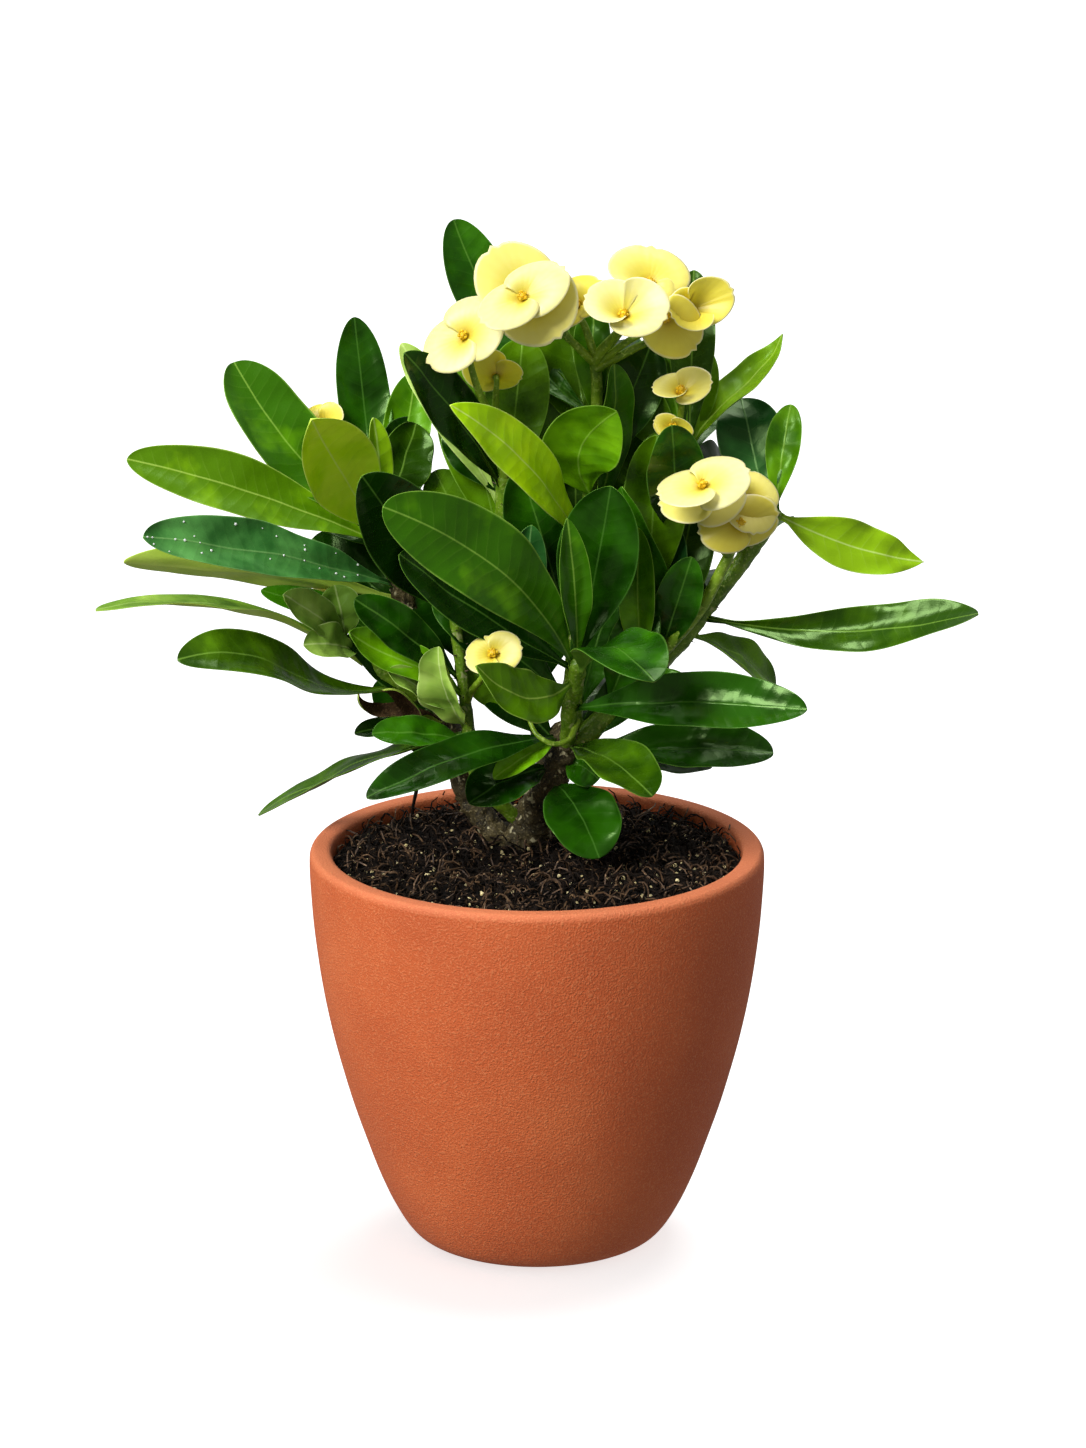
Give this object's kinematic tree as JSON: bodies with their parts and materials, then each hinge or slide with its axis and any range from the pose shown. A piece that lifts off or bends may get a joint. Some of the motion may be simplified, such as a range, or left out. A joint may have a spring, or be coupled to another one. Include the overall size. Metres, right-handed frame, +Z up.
{
  "type": "potted euphorbia",
  "caption": "Crown of thorns plant with leathery leaves and pale yellow flower bracts on thorny stems, growing in soil in a round terracotta pot.",
  "frame": {"origin": "centre of the pot's flat base, on the surface that it stands on", "axes": "+Z up along the pot's axis, +X to the plant's right, -Y the plant's front"},
  "size_m": [0.3217, 0.17, 0.3803],
  "materials": {
    "terracotta": "matte, fine sandy grain",
    "potting_soil": "loose dark peat and bark with pale grains",
    "bark": "rough grey-brown bark with scars",
    "green_stem": "smooth green skin with thorns",
    "flower_stalk": "smooth, slightly waxy",
    "leaf": "leathery, half gloss, pale veins",
    "bract": "soft, waxy, pale yellow"
  },
  "bodies": {
    "root": {"pot": "terracotta", "soil": "potting_soil", "trunk": "bark", "centre_stem": "green_stem", "front_shoot": "green_stem", "left_centre_stem": "bark", "left_inner_shoot": "green_stem", "left_branch": "bark", "left_shoot": "green_stem", "right_branch": "bark", "right_inner_stem": "green_stem", "stalk_top": "flower_stalk", "stalk_left": "flower_stalk", "stalk_right": "flower_stalk", "leaf_left_a": "leaf", "leaf_left_b": "leaf", "leaf_left_c": "leaf", "leaf_left_d": "leaf", "leaf_left_e": "leaf", "leaf_left_f": "leaf", "leaf_left_g": "leaf", "leaf_left_h": "leaf", "leaf_left_j": "leaf", "leaf_top_n": "leaf", "leaf_top_o": "leaf", "leaf_top_p": "leaf", "leaf_top_r": "leaf", "leaf_top_s": "leaf", "leaf_right_s": "leaf", "leaf_right_t": "leaf", "leaf_top_y": "leaf", "leaf_front_a": "leaf", "leaf_front_b": "leaf", "leaf_front_c": "leaf", "leaf_front_e": "leaf", "leaf_front_g": "leaf", "leaf_front_i": "leaf", "leaf_front_j": "leaf", "leaf_right_l": "leaf", "leaf_right_m": "leaf", "leaf_right_n": "leaf", "leaf_right_o": "leaf", "leaf_low_p": "leaf", "leaf_right_w": "leaf", "leaf_right_v": "leaf", "leaf_low_q": "leaf", "leaf_low_r": "leaf", "leaf_low_s": "leaf", "leaf_shoot_a": "leaf", "leaf_shoot_b": "leaf", "flower_top_left": "bract", "flower_top_low": "bract", "flower_back": "bract", "flower_top_centre": "bract", "flower_top_right": "bract", "flower_top_back": "bract", "flower_right": "bract", "flower_right_cup": "bract", "flower_right_low": "bract", "flower_low": "bract"}
  },
  "joints": []
}
